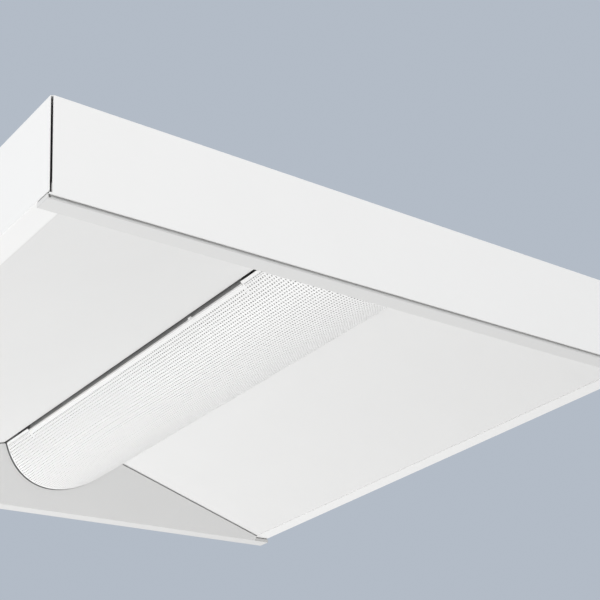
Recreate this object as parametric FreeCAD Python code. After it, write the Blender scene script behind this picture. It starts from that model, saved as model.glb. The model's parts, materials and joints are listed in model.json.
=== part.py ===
"""Recessed troffer light, 603 mm square: a shallow white sheet-steel ceiling luminaire.

Millimetres.  Origin at the middle of the underside, +Z up into the ceiling void, +X across
the lens, +Y along the lens.  "Front" is the -Y end and "left" is the -X side.
"""
import math
import os

import FreeCAD
import Part

# ---- driving dimensions -------------------------------------------------------------
SIDE = 603.0                # plan size, for a 610 mm (24 in) ceiling grid module
HEIGHT = 80.0               # underside of the end flanges to the top sheet
SHEET = 0.7                 # painted steel sheet
BEND_INSIDE, BEND_OUTSIDE = 0.4, 1.1
HALF = SIDE / 2

SIDE_FLANGE_Z = 4.6         # the side flanges sit this far above the end flanges
SIDE_FLANGE_WIDTH = 19.0
END_FLANGE_WIDTH = 17.0
CORNER_GAP = 1.5            # open joint between a side wall and an end panel
PANEL_FOOT_Z = 2.1          # lower edge of an end panel, above the reveal groove
PANEL_FOOT_TOP = 3.6        # the foot runs full width up to here
REVEAL_DEPTH = 2.0          # how far the flange's outer lip is set back from the panel's face
LIP_HEIGHT = 12.0           # the upturned outer lip of an end plate
TOP_RETURN = 15.0           # how far a panel's top edge is folded in under the top sheet

WING_EDGE_X = 69.0          # inner edge of a wing reflector, beside the lens
WING_EDGE_Z = 49.5
WING_LAP = 6.0              # how far a wing runs on past an end plate
PLATE_GAP = 1.1             # dark joint between an end plate's edge and a wing
SLOT_X = 298.3              # inner side of the slot between a wall's foot and its flange
CHAMBER_GAP = 12.0          # level distance from an end plate back to the chamber's end

LENS_RADIUS = 90.0          # lens basket: underside of the curved cover
LENS_BOTTOM = 17.5
LENS_HALF_WIDTH = 64.95
LENS_END_HALF_WIDTH = 67.6  # the cover is wider past the rails' ends
BASKET_END_GAP = 3.0        # level gap between the basket's sloping end and an end plate
DIFFUSER_THICKNESS = 1.5

RAIL_TOP = 57.0             # hinge rail
LOW_RAIL_TOP = 47.0         # free rail, low enough to see over through the slot
RAIL_END = 187.5            # the rails stop short of the basket's sloping ends
HEM_WIDTH = 0.85
HEM_HEIGHT = 1.8
HINGE_CLEAR_Y = 206.0       # the cover's right edge stays narrow as far as the hinge ears
PULL_TAB_Y = -112.5         # finger tab in the left slot
PULL_TAB_LENGTH = 4.0

HINGE_X, HINGE_Z = 66.7, 48.2   # the basket's hinge line, along the right slot
PIN_RADIUS = 1.0
RUNNING_CLEARANCE = 0.05
KNUCKLE_RADIUS = 1.7
KNUCKLE_LENGTH = 14.0

TRAY_Z = 70.0               # underside of the LED tray
TRAY_HALF_WIDTH = 56.0
TRAY_HALF_LENGTH = 225.0

CLIP_Y = 100.0              # the grid clips, two on each side wall
CLIP_Z0, CLIP_Z1 = 38.6, 51.4   # just above a 38 mm high ceiling tee
CLIP_LENGTH = 40.0
CLIP_AXIS_X = HALF - 2.9    # distance of a clip's pin from the middle
CLIP_KNUCKLE_RADIUS = 2.0
CLIP_TAIL = 2.0             # length of the blade behind the pin

DRIVER_X, DRIVER_WIDTH = -160.0, 60.0
DRIVER_Y0, DRIVER_Y1 = -160.0, 110.0
DRIVER_HEIGHT = 28.0

ACCESS_X, ACCESS_Y = -160.0, 208.0
INLET_RADIUS = 11.1         # 22.2 mm (7/8 in) conduit knockout
INLET_SPACING = 28.0
HANGER_X, HANGER_Y, HANGER_RADIUS = 275.0, 270.0, 3.0
SCREW_RADIUS = 1.6

# ---- worked out from them -----------------------------------------------------------
TOP_UNDER = HEIGHT - SHEET
PAN_REACH = HALF - SHEET - 0.2
FLANGE_TOP = SIDE_FLANGE_Z + SHEET
WING_FOOT_X = HALF - SIDE_FLANGE_WIDTH
WING_SLOPE = (WING_EDGE_Z - FLANGE_TOP) / (WING_FOOT_X - WING_EDGE_X)
PLATE_FOOT_Y = HALF - END_FLANGE_WIDTH
LENS_CENTRE_Z = LENS_BOTTOM + LENS_RADIUS
SLANT = SHEET / math.sqrt(2)    # level part of a sheet thickness across a 45 degree plate
FLANGE_X1 = LENS_HALF_WIDTH     # outer face of the cover's upturned edge
WEB_X1 = FLANGE_X1 + SHEET      # outer face of a rail's web
RAIL_Z0 = LENS_CENTRE_Z - math.sqrt(LENS_RADIUS ** 2 - LENS_HALF_WIDTH ** 2)
PIN_HOLE = PIN_RADIUS + RUNNING_CLEARANCE

END_SCREWS = [(x, y) for y in (-293.5, 293.5) for x in (-240.0, -80.0, 80.0, 240.0)]
TRAY_SCREWS = [(x, y) for y in (-195.0, 0.0, 195.0) for x in (-62.0, 62.0)]
WING_SCREWS = [(x, y) for y in (-170.0, 170.0) for x in (-76.0, 76.0)]


# ---- helpers ------------------------------------------------------------------------
def vec(x, y, z):
    return FreeCAD.Vector(x, y, z)


def box(x0, x1, y0, y1, z0, z1):
    """A box between two values on each axis, given in either order."""
    low = vec(min(x0, x1), min(y0, y1), min(z0, z1))
    return Part.makeBox(abs(x1 - x0), abs(y1 - y0), abs(z1 - z0), low)


def prism_y(points, y0, y1):
    """An outline of (x, z) points, drawn out along Y."""
    corners = [vec(x, y0, z) for x, z in points]
    face = Part.Face(Part.makePolygon(corners + corners[:1]))
    return face.extrude(vec(0, y1 - y0, 0))


def prism_x(points, x0, x1):
    """An outline of (y, z) points, drawn out along X."""
    corners = [vec(x0, y, z) for y, z in points]
    face = Part.Face(Part.makePolygon(corners + corners[:1]))
    return face.extrude(vec(x1 - x0, 0, 0))


def rod(start, end, radius):
    """A cylinder from one point to another."""
    along = vec(*end) - vec(*start)
    return Part.makeCylinder(radius, along.Length, vec(*start), along)


def hexagon(x, y, z, across, height):
    """A hexagonal head standing on (x, y, z)."""
    reach = across / math.sqrt(3)
    angles = [math.radians(60 * i) for i in range(6)]
    corners = [vec(x + reach * math.cos(a), y + reach * math.sin(a), z) for a in angles]
    return Part.Face(Part.makePolygon(corners + corners[:1])).extrude(vec(0, 0, height))


def mirror_x(shape):
    return shape.mirror(vec(0, 0, 0), vec(1, 0, 0))


def mirror_y(shape):
    return shape.mirror(vec(0, 0, 0), vec(0, 1, 0))


def turned(shape):
    """The same piece turned half round about the vertical axis."""
    copy = shape.copy()
    copy.rotate(vec(0, 0, 0), vec(0, 0, 1), 180)
    return copy


def fused(shapes):
    return shapes[0].multiFuse(shapes[1:]).removeSplitter()


def rounded(shape, radius, wanted):
    """The shape with the bends rounded whose straight edges a test picks by their bounds."""
    edges = [e for e in shape.Edges if wanted(e.BoundBox)]
    return shape.makeFillet(radius, edges)


def lies_at(low, high, value):
    """Whether a bound's two ends on one axis are both at a value."""
    return abs(low - value) < 0.01 and abs(high - value) < 0.01


def drilled(shape, places, radius, z0, z1):
    """The shape with an upright hole at each (x, y)."""
    return shape.cut(Part.makeCompound([rod((x, y, z0), (x, y, z1), radius) for x, y in places]))


def between_slopes(setback, top=HEIGHT):
    """The space between the two 45 degree end plates, set back level by a distance."""
    foot = PLATE_FOOT_Y - setback
    outline = [(-foot, 0), (foot, 0), (foot - top, top), (top - foot, top)]
    return prism_x(outline, -HALF, HALF)


def wing_underside(x):
    """Height of a wing's lower face at a distance from the middle."""
    return FLANGE_TOP + (WING_FOOT_X - abs(x)) * WING_SLOPE


def lens_z(x, radius):
    """Height of the lens's arc of a given radius at a distance from the middle."""
    return LENS_CENTRE_Z - math.sqrt(radius ** 2 - x ** 2)


def lens_cylinder(radius):
    return rod((0, -HALF, LENS_CENTRE_Z), (0, HALF, LENS_CENTRE_Z), radius)


def wire_tube(points, radius, bend):
    """A round lead along straight runs joined by tangent arcs."""
    corners = [vec(*p) for p in points]
    edges = []
    here = corners[0]
    for i in range(1, len(corners) - 1):
        back = (corners[i - 1] - corners[i]).normalize()
        ahead = (corners[i + 1] - corners[i]).normalize()
        half_turn = (math.pi - back.getAngle(ahead)) / 2
        reach = bend * math.tan(half_turn)
        start, end = corners[i] + back * reach, corners[i] + ahead * reach
        inward = (back + ahead).normalize()
        middle = corners[i] + inward * (bend / math.cos(half_turn) - bend)
        edges.append(Part.LineSegment(here, start).toShape())
        edges.append(Part.Arc(start, middle, end).toShape())
        here = end
    edges.append(Part.LineSegment(here, corners[-1]).toShape())
    path = Part.Wire(edges)
    circle = Part.Wire(Part.makeCircle(radius, corners[0], corners[1] - corners[0]))
    return path.makePipeShell([circle], True, False)


def save(name, shape):
    solids = shape.Solids
    assert solids and all(s.isValid() for s in solids), name
    (solids[0] if len(solids) == 1 else Part.makeCompound(solids)).exportStep(f"parts/{name}.step")
    box_ = shape.BoundBox
    print(f"{name:24s} solids {len(solids):3d}  volume {shape.Volume / 1000:8.2f} cm3"
          f"  z {box_.ZMin:6.2f} to {box_.ZMax:6.2f}")


# ---- housing ------------------------------------------------------------------------
def housing_pan():
    """Top sheet, two side walls and their inward flanges, bent from one sheet."""
    inner, foot = HALF - SHEET, WING_FOOT_X
    right = [(foot, SIDE_FLANGE_Z), (HALF, SIDE_FLANGE_Z), (HALF, HEIGHT)]
    right_inside = [(inner, TOP_UNDER), (inner, FLANGE_TOP), (foot, FLANGE_TOP)]
    outline = right + [(-x, z) for x, z in reversed(right)]
    outline += [(-x, z) for x, z in reversed(right_inside)] + right_inside
    pan = prism_y(outline, -PAN_REACH, PAN_REACH)
    pan = rounded(pan, BEND_OUTSIDE, lambda b: b.YLength > 500 and abs(abs(b.XMin) - HALF) < 0.01)
    pan = rounded(pan, BEND_INSIDE, lambda b: b.YLength > 500 and abs(abs(b.XMin) - inner) < 0.01)
    beads = []
    for bead_x in (-240.0, -100.0, 100.0, 240.0):
        section = [(bead_x - 6, HEIGHT), (bead_x - 3, HEIGHT + 1.6),
                   (bead_x + 3, HEIGHT + 1.6), (bead_x + 6, HEIGHT)]
        beads.append(prism_y(section, -200, 200))
    pan = fused([pan] + beads)
    flange_notch = HALF - REVEAL_DEPTH - SHEET - 0.2
    for side in (-1, 1):
        pan = pan.cut(box(side * 270, side * (inner - BEND_INSIDE), -flange_notch, -HALF, 0, 20))
        pan = pan.cut(box(side * 270, side * (inner - BEND_INSIDE), flange_notch, HALF, 0, 20))
        for end in (-1, 1):
            slot = box(side * SLOT_X, side * inner, end * (PLATE_FOOT_Y - 0.2), end * HALF, 0, 8)
            pan = pan.cut(slot)
    for place in clip_places():
        pan = pan.cut(place(clip_window()))
    pan = pan.cut(box(ACCESS_X - 28, ACCESS_X + 28, ACCESS_Y - 25, ACCESS_Y + 25, 70, 90))
    hangers = [(x, y) for x in (-HANGER_X, HANGER_X) for y in (-HANGER_Y, HANGER_Y)]
    pan = drilled(pan, hangers, HANGER_RADIUS, 70, 90)
    return drilled(pan, END_SCREWS + TRAY_SCREWS + WING_SCREWS, SCREW_RADIUS, 70, 90)


def end_panel():
    """Outer face of the front end, with its top edge folded in under the top sheet."""
    inner = -HALF + SHEET
    reach = HALF - SHEET - CORNER_GAP
    face = box(-reach, reach, -HALF, inner, PANEL_FOOT_Z, HEIGHT)
    foot = box(-HALF, HALF, -HALF, inner, PANEL_FOOT_Z, PANEL_FOOT_TOP)
    fold = box(-reach + 3, reach - 3, -HALF, -HALF + TOP_RETURN, TOP_UNDER - SHEET, TOP_UNDER)
    panel = fused([face, foot, fold])
    return drilled(panel, END_SCREWS, SCREW_RADIUS, 70, HEIGHT - 0.1)


def end_plate():
    """Sloping inner end of the front, with the flange that laps under the side flanges."""
    outer = -HALF + REVEAL_DEPTH
    inner = -PLATE_FOOT_Y
    lip_reach = HALF - SHEET - 1.8
    slope_reach = WING_FOOT_X - 0.2
    pieces = [
        box(-HALF, HALF, outer, inner, 0, SHEET),
        box(-lip_reach, lip_reach, outer, outer + SHEET, 0, LIP_HEIGHT),
    ]
    rise = WING_EDGE_Z
    slope = prism_x([(inner, 0), (inner + rise, rise),
                     (inner + rise - SLANT, rise + SLANT), (inner - SLANT, SLANT)],
                    -slope_reach, slope_reach)
    edge = wing_underside(WING_EDGE_X) - PLATE_GAP
    corner = wing_underside(slope_reach) - PLATE_GAP
    below_wings = prism_y([(-slope_reach, -1), (slope_reach, -1), (slope_reach, corner),
                           (WING_EDGE_X, edge), (-WING_EDGE_X, edge), (-slope_reach, corner)],
                          -HALF, 0)
    pieces.append(slope.common(below_wings).cut(lens_cylinder(LENS_RADIUS - 0.3)))
    for side in (-1, 1):
        wall = side * HALF
        pieces.append(box(wall, wall - side * SHEET, outer, inner, 0, PANEL_FOOT_TOP))
        pieces.append(box(wall, side * WING_FOOT_X, inner - SHEET, inner, 0, PANEL_FOOT_TOP + 0.2))
        pieces.append(box(side * 286, side * 298, -297, -288, 0, SIDE_FLANGE_Z))
    return fused(pieces)


def wing():
    """Left reflector: a lip on the side flange, the slope, and the upright beside the lens."""
    foot, edge = -WING_FOOT_X, -WING_EDGE_X
    rise = SHEET * math.hypot(1, WING_SLOPE)
    outline = [
        (foot - 14, FLANGE_TOP), (foot, FLANGE_TOP), (edge, WING_EDGE_Z), (edge, TOP_UNDER),
        (edge - 14, TOP_UNDER), (edge - 14, TOP_UNDER - SHEET), (edge - SHEET, TOP_UNDER - SHEET),
        (edge - SHEET, WING_EDGE_Z + rise), (foot, FLANGE_TOP + rise), (foot - 14, FLANGE_TOP + rise),
    ]
    sheet = prism_y(outline, -HALF, HALF).common(between_slopes(-WING_LAP))
    return drilled(sheet, WING_SCREWS, SCREW_RADIUS, 70, HEIGHT)


def wing_left():
    """The left wing has the window that the board leads pass through."""
    return wing().cut(rod((-80, BUSHING_Y, BUSHING_Z), (-60, BUSHING_Y, BUSHING_Z), BUSHING_RADIUS))


def chamber_end():
    """Plate that closes the lamp chamber behind the front end plate, up to the top sheet."""
    low, knee = 14.0, 62.0
    foot = -PLATE_FOOT_Y - CHAMBER_GAP
    wall = foot + knee
    outline = [
        (foot + low, low), (wall, knee), (wall, TOP_UNDER), (wall - 12, TOP_UNDER),
        (wall - 12, TOP_UNDER - SHEET), (wall - SHEET, TOP_UNDER - SHEET),
        (wall - SHEET, knee + 0.4 * SHEET), (foot + low - SLANT, low + SLANT),
    ]
    return prism_x(outline, -WING_EDGE_X, WING_EDGE_X)


def end_braces():
    """Four straps that hang the sloping end plates from the top sheet."""
    near, far, foot = 256.0, 256.0 + SHEET, 268.0
    back = PLATE_FOOT_Y + 2 * SLANT
    outline = [
        (near, back - near), (foot, back - foot), (foot + SLANT, back - foot + SLANT),
        (far, back + 2 * SLANT - far), (far, TOP_UNDER - SHEET), (foot, TOP_UNDER - SHEET),
        (foot, TOP_UNDER), (near, TOP_UNDER),
    ]
    strap = prism_x(outline, 110, 130)
    pair = [strap, mirror_x(strap)]
    return Part.makeCompound(pair + [mirror_y(s) for s in pair])


# ---- light engine -------------------------------------------------------------------
BOARD_X0, BOARD_X1, BOARD_HALF_LENGTH, BOARD_THICKNESS = 14.0, 38.0, 215.0, 1.6
BOARD_UNDER = TRAY_Z - BOARD_THICKNESS
CHIPS_PER_BOARD, CHIP_PITCH, CHIP_SIZE, CHIP_HEIGHT = 34, 12.0, 3.0, 0.7
BOARD_SCREW_Y = (-196.5, -64.5, 67.5, 196.5)
CONNECTOR_Y0, CONNECTOR_Y1, CONNECTOR_HEIGHT = -214.0, -204.0, 4.5
BUSHING_Y, BUSHING_Z, BUSHING_RADIUS = -196.0, 64.0, 7.0
LEAD_RADIUS = 1.1


def led_tray():
    """Hat channel under the top sheet that carries the boards and takes their heat."""
    web_z1 = TRAY_Z + SHEET
    side, foot = TRAY_HALF_WIDTH, TRAY_HALF_WIDTH + 12
    outline = [
        (-foot, TOP_UNDER), (-side, TOP_UNDER), (-side, web_z1), (side, web_z1), (side, TOP_UNDER),
        (foot, TOP_UNDER), (foot, TOP_UNDER - SHEET), (side + SHEET, TOP_UNDER - SHEET),
        (side + SHEET, TRAY_Z), (-side - SHEET, TRAY_Z), (-side - SHEET, TOP_UNDER - SHEET),
        (-foot, TOP_UNDER - SHEET),
    ]
    tray = prism_y(outline, -TRAY_HALF_LENGTH, TRAY_HALF_LENGTH)
    tray = drilled(tray, TRAY_SCREWS, SCREW_RADIUS, 76, HEIGHT)
    return drilled(tray, board_screw_places(), SCREW_RADIUS, 66, 72)


def board_screw_places():
    middle = (BOARD_X0 + BOARD_X1) / 2 + 8
    return [(x, y) for x in (-middle, middle) for y in BOARD_SCREW_Y]


def led_board():
    """Right-hand circuit board, drilled for its screws."""
    board = box(BOARD_X0, BOARD_X1, -BOARD_HALF_LENGTH, BOARD_HALF_LENGTH, BOARD_UNDER, TRAY_Z)
    return drilled(board, board_screw_places(), SCREW_RADIUS, 66, 72)


def led_packages():
    """One row of LED packages under each board."""
    chips = []
    middle = (BOARD_X0 + BOARD_X1) / 2 - 4
    half = CHIP_SIZE / 2
    for i in range(CHIPS_PER_BOARD):
        y = (i - (CHIPS_PER_BOARD - 1) / 2) * CHIP_PITCH
        for x in (-middle, middle):
            chips.append(box(x - half, x + half, y - half, y + half, BOARD_UNDER - CHIP_HEIGHT, BOARD_UNDER))
    return Part.makeCompound(chips)


def board_connectors():
    """Push-in connector on each board, open to the leads."""
    body = box(21, 31, CONNECTOR_Y0, CONNECTOR_Y1, BOARD_UNDER - CONNECTOR_HEIGHT, BOARD_UNDER)
    pair = [body, mirror_x(body)]
    holes = Part.makeCompound([rod((-34, y, LEAD_Z), (34, y, LEAD_Z), LEAD_RADIUS) for y in LEAD_END_Y])
    return Part.makeCompound([b.cut(holes) for b in pair])


def screw(x, y, z, shank_down=True, length=3.6, across=5.5):
    """Hex washer-head screw whose head stands up from z, or hangs down from it."""
    head = fused([rod((x, y, z), (x, y, z + 0.6), across * 0.72),
                  hexagon(x, y, z + 0.3, across, 1.9),
                  rod((x, y, z - length), (x, y, z + 0.3), SCREW_RADIUS)])
    if not shank_down:
        head.rotate(vec(x, y, z), vec(1, 0, 0), 180)
    return head


def board_screws():
    places = board_screw_places()
    return Part.makeCompound([screw(x, y, BOARD_UNDER, False, BOARD_THICKNESS + 1.4, 4.0) for x, y in places])


def top_screws():
    """Screws through the top sheet into the end panels, the tray and the wings."""
    return Part.makeCompound([screw(x, y, HEIGHT) for x, y in END_SCREWS + TRAY_SCREWS + WING_SCREWS])


# ---- driver and wiring --------------------------------------------------------------
DRIVER_Z0 = TOP_UNDER - DRIVER_HEIGHT
DRIVER_FOOT = 14.0
DRIVER_SCREWS = [(DRIVER_X, DRIVER_Y0 - 8), (DRIVER_X, DRIVER_Y1 + 8)]
LEAD_Z = 66.0
LEAD_END_Y = (-211.0, -207.0)
TERMINAL_Y0, TERMINAL_Y1, TERMINAL_Z0 = 158.0, 176.0, 67.3
LINE_LEADS = {"live": DRIVER_X + 14, "neutral": DRIVER_X + 21}
GROUND_X, GROUND_Y = -212.0, 167.0


def driver_case():
    """Closed LED driver with a foot at each end, hung under the top sheet."""
    x0, x1 = DRIVER_X - DRIVER_WIDTH / 2, DRIVER_X + DRIVER_WIDTH / 2
    body = box(x0, x1, DRIVER_Y0, DRIVER_Y1, DRIVER_Z0, TOP_UNDER)
    low_edges = [e for e in body.Edges if e.BoundBox.ZMax < DRIVER_Z0 + 0.1 and e.BoundBox.YLength > 1]
    body = body.makeChamfer(3.0, low_edges)
    feet = box(DRIVER_X - 20, DRIVER_X + 20, DRIVER_Y0 - DRIVER_FOOT, DRIVER_Y1 + DRIVER_FOOT,
               TOP_UNDER - 1.2, TOP_UNDER)
    case = drilled(fused([body, feet]), DRIVER_SCREWS, SCREW_RADIUS, 70, HEIGHT)
    ports = [rod((x, DRIVER_Y1 - 6, LEAD_Z), (x, DRIVER_Y1 + 1, LEAD_Z), LEAD_RADIUS)
             for x in LINE_LEADS.values()]
    ports += [rod((x, DRIVER_Y0 - 1, BUSHING_Z), (x, DRIVER_Y0 + 6, BUSHING_Z), LEAD_RADIUS)
              for x in board_lead_x()]
    return case.cut(Part.makeCompound(ports))


def board_lead_x():
    """The two board leads leave the driver side by side."""
    return DRIVER_X + 10, DRIVER_X + 14


def driver_screws():
    """Screws that hold the driver's feet up against the top sheet."""
    z = TOP_UNDER - 1.2
    return Part.makeCompound([screw(x, y, z, False, 1.2) for x, y in DRIVER_SCREWS])


def terminal_block():
    """Three-pole push-in block for the supply, below the access opening's edge."""
    block = box(DRIVER_X + 2, DRIVER_X + 28, TERMINAL_Y0, TERMINAL_Y1, TERMINAL_Z0, TOP_UNDER)
    mouths = [box(x - 2.2, x + 2.2, TERMINAL_Y1 - 4, TERMINAL_Y1 + 1, 70.5, 75.5)
              for x in (DRIVER_X + 7, DRIVER_X + 15, DRIVER_X + 23)]
    entries = [rod((x, TERMINAL_Y0 - 1, 72), (x, TERMINAL_Y0 + 6, 72), LEAD_RADIUS)
               for x in LINE_LEADS.values()]
    entries.append(rod((DRIVER_X, GROUND_Y, 72), (DRIVER_X + 8, GROUND_Y, 72), LEAD_RADIUS))
    return block.cut(Part.makeCompound(mouths + entries))


def line_lead(x):
    """Supply lead from the terminal block to the driver."""
    return wire_tube([(x, TERMINAL_Y0 + 6, 72), (x, TERMINAL_Y0 - 14, 72),
                      (x, DRIVER_Y1 + 16, LEAD_Z), (x, DRIVER_Y1 - 6, LEAD_Z)], LEAD_RADIUS, 14)


def lead_ground():
    """Earth lead from the terminal block to the ring under the earth screw."""
    lead = wire_tube([(DRIVER_X + 8, GROUND_Y, 72), (DRIVER_X - 20, GROUND_Y, 72),
                      (GROUND_X + 18, GROUND_Y, TOP_UNDER - LEAD_RADIUS),
                      (GROUND_X + 4.3, GROUND_Y, TOP_UNDER - LEAD_RADIUS)], LEAD_RADIUS, 14)
    ring = rod((GROUND_X, GROUND_Y, TOP_UNDER - 1.0), (GROUND_X, GROUND_Y, TOP_UNDER), 4.6)
    return fused([lead, ring])


def ground_screw():
    """Screw head that clamps the ring terminal."""
    z = TOP_UNDER - 1.0
    return fused([rod((GROUND_X, GROUND_Y, z - 0.6), (GROUND_X, GROUND_Y, z), 4.2),
                  hexagon(GROUND_X, GROUND_Y, z - 3.0, 6.0, 2.6)])


def board_lead(index):
    """Lead from the driver through the left wing to the left board, and its link to the right."""
    x = board_lead_x()[index]
    cross_y = BUSHING_Y + (-2.0, 2.0)[index]
    end_y = LEAD_END_Y[index]
    main = wire_tube([(x, DRIVER_Y0 + 6, BUSHING_Z), (x, cross_y, BUSHING_Z), (-58, cross_y, BUSHING_Z),
                      (-42, end_y, LEAD_Z), (-27, end_y, LEAD_Z)], LEAD_RADIUS, 7)
    link = rod((-25, end_y, LEAD_Z), (25, end_y, LEAD_Z), LEAD_RADIUS)
    return Part.makeCompound([main, link])


def wire_bushing():
    """Snap-in bushing that guards the leads where they pass the left wing."""
    centre = (BUSHING_Y, BUSHING_Z)
    inner, outer = -WING_EDGE_X, -WING_EDGE_X - SHEET
    sleeve = rod((outer - 3, *centre), (inner + 3, *centre), BUSHING_RADIUS)
    rim = rod((inner, *centre), (inner + 1.5, *centre), BUSHING_RADIUS + 2)
    bore = rod((outer - 5, *centre), (inner + 5, *centre), BUSHING_RADIUS - 1.6)
    return fused([sleeve, rim]).cut(bore)


def wire_clips():
    """Two saddles that hold the board leads under the top sheet."""
    clips = []
    lead_x = board_lead_x()
    along_y = box(lead_x[0] - 3, lead_x[1] + 3, -179.0, -175.0, BUSHING_Z - 3, TOP_UNDER)
    holes = [rod((x, -185, BUSHING_Z), (x, -170, BUSHING_Z), LEAD_RADIUS) for x in lead_x]
    clips.append(along_y.cut(Part.makeCompound(holes)))
    along_x = box(-104, -100, BUSHING_Y - 5, BUSHING_Y + 5, BUSHING_Z - 3, TOP_UNDER)
    holes = [rod((-110, BUSHING_Y + d, BUSHING_Z), (-95, BUSHING_Y + d, BUSHING_Z), LEAD_RADIUS)
             for d in (-2.0, 2.0)]
    clips.append(along_x.cut(Part.makeCompound(holes)))
    return Part.makeCompound(clips)


def access_screw_places():
    return [(ACCESS_X + i * 35, ACCESS_Y + j * 31) for i in (-1, 1) for j in (-1, 1)]


def access_plate():
    """Wiring access plate on the top sheet, with the supply inlet and a second knockout."""
    plate = box(ACCESS_X - 40, ACCESS_X + 40, ACCESS_Y - 37, ACCESS_Y + 37, HEIGHT, HEIGHT + SHEET)
    inlets = [(ACCESS_X + d * INLET_SPACING / 2, ACCESS_Y) for d in (-1, 1)]
    plate = drilled(plate, inlets, INLET_RADIUS, HEIGHT - 1, HEIGHT + 2)
    return drilled(plate, access_screw_places(), SCREW_RADIUS, HEIGHT - 1, HEIGHT + 2)


def access_screws():
    places = access_screw_places()
    return Part.makeCompound([screw(x, y, HEIGHT + SHEET, True, SHEET) for x, y in places])


def knockout_plug():
    """The slug still in place in the second knockout."""
    x = ACCESS_X + INLET_SPACING / 2
    slug = rod((x, ACCESS_Y, HEIGHT), (x, ACCESS_Y, HEIGHT + SHEET), INLET_RADIUS)
    slot = box(x - 4, x + 4, ACCESS_Y - 0.6, ACCESS_Y + 0.6, HEIGHT + SHEET - 0.3, HEIGHT + 2)
    return slug.cut(slot)


# ---- lens basket --------------------------------------------------------------------
def arc_sheet(radius, thickness, reach, end_gap):
    """A curved sheet whose underside has a radius, cut parallel to the end plates."""
    shell = lens_cylinder(radius).cut(lens_cylinder(radius - thickness))
    shell = shell.common(box(-reach, reach, -HALF, HALF, 0, RAIL_TOP))
    return shell.common(between_slopes(end_gap))


def basket_cover():
    """Curved lower shell of the basket, with an upturned edge along the hinge rail."""
    arc = arc_sheet(LENS_RADIUS, SHEET, LENS_END_HALF_WIDTH, BASKET_END_GAP)
    left_edge = box(-HALF, -LENS_HALF_WIDTH, -RAIL_END - 0.3, RAIL_END + 0.3, 0, 60)
    right_edge = box(LENS_HALF_WIDTH, HALF, -HINGE_CLEAR_Y, HINGE_CLEAR_Y, 0, 60)
    inner = FLANGE_X1 - SHEET
    upturn = box(inner, FLANGE_X1, -RAIL_END, RAIL_END, RAIL_Z0 + 0.2, 54)
    return fused([arc.cut(left_edge).cut(right_edge), upturn])


def basket_diffuser():
    """Frosted sheet that lies in the cover."""
    return arc_sheet(LENS_RADIUS - SHEET - 0.1, DIFFUSER_THICKNESS, 62.0, BASKET_END_GAP + 1)


def basket_rail_left():
    """Free rail: a doubled hem with a low fold over the cover, and the finger tab in the slot."""
    outer, top = WEB_X1 + HEM_WIDTH, LOW_RAIL_TOP
    section = [
        (-FLANGE_X1, RAIL_Z0), (-outer, RAIL_Z0), (-outer, top), (-FLANGE_X1 + 7, top),
        (-FLANGE_X1 + 7, top - SHEET), (-FLANGE_X1, top - SHEET),
    ]
    rail = prism_y(section, -RAIL_END, RAIL_END)
    y0, y1 = PULL_TAB_Y - PULL_TAB_LENGTH / 2, PULL_TAB_Y + PULL_TAB_LENGTH / 2
    tip = WING_EDGE_X - 0.4
    shelf = box(-tip, -outer, y0, y1, top - SHEET, top)
    finger = box(-tip, -tip + SHEET, y0, y1, RAIL_Z0 - 0.2, top)
    return fused([rail, shelf, finger])


def basket_rail_right():
    """Hinge rail: hem, web and the stiffening fold at the top, with a knuckle at each end."""
    fold = FLANGE_X1 - 8
    section = [
        (FLANGE_X1, RAIL_Z0), (WEB_X1 + HEM_WIDTH, RAIL_Z0),
        (WEB_X1 + HEM_WIDTH, RAIL_Z0 + HEM_HEIGHT), (WEB_X1, RAIL_Z0 + HEM_HEIGHT),
        (WEB_X1, RAIL_TOP), (fold, RAIL_TOP), (fold, RAIL_TOP - SHEET),
        (FLANGE_X1, RAIL_TOP - SHEET),
    ]
    pieces = [prism_y(section, -RAIL_END, RAIL_END)]
    bores = []
    for side in (-1, 1):
        near, far = side * (RAIL_END - KNUCKLE_LENGTH), side * RAIL_END
        pieces.append(rod((HINGE_X, near, HINGE_Z), (HINGE_X, far, HINGE_Z), KNUCKLE_RADIUS))
        bores.append(rod((HINGE_X, near - side, HINGE_Z), (HINGE_X, far + side, HINGE_Z), PIN_HOLE))
    return fused(pieces).cut(Part.makeCompound(bores)).cut(basket_cover())


def diffuser_clips():
    """Four spring tongues, on the hinge rail's side and under the free rail, that keep the diffuser down."""
    inner = FLANGE_X1 - SHEET
    touch_x = 60.2
    touch_z = lens_z(touch_x, LENS_RADIUS - SHEET - 0.1 - DIFFUSER_THICKNESS)
    outline = [(inner, 53), (inner, 47.9), (touch_x, touch_z + 0.1), (touch_x - 0.5, touch_z + 0.6),
               (inner - 0.6, 48.4), (inner - 0.6, 53)]
    under_rail = [(-60.2, LOW_RAIL_TOP - SHEET), (-58.2, LOW_RAIL_TOP - SHEET), (-56.8, 41.5), (-57.6, 41.45)]
    pair = [prism_y(outline, 140, 152), prism_y(under_rail, 140, 152)]
    return Part.makeCompound(pair + [mirror_y(c) for c in pair])


def hinge_brackets():
    """Two ears riveted to the right wing's upright, which carry the hinge pins."""
    ears = []
    wing_face = WING_EDGE_X
    for side in (-1, 1):
        y0, y1 = side * (RAIL_END + 1.5), side * (RAIL_END + 3.0)
        ear = box(HINGE_X - 2, HINGE_X + 2, y0, y1, HINGE_Z, 62)
        eye = rod((HINGE_X, y0, HINGE_Z), (HINGE_X, y1, HINGE_Z), 2.0)
        web = box(HINGE_X - 2, wing_face, y0, y1, 51.5, 62)
        leaf = box(wing_face - SHEET, wing_face, y0, y1 + side * 12, 51.5, 62)
        hole = rod((HINGE_X, y0 - side, HINGE_Z), (HINGE_X, y1 + side, HINGE_Z), PIN_RADIUS)
        ears.append(fused([ear, eye, web, leaf]).cut(hole))
    return Part.makeCompound(ears)


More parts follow.
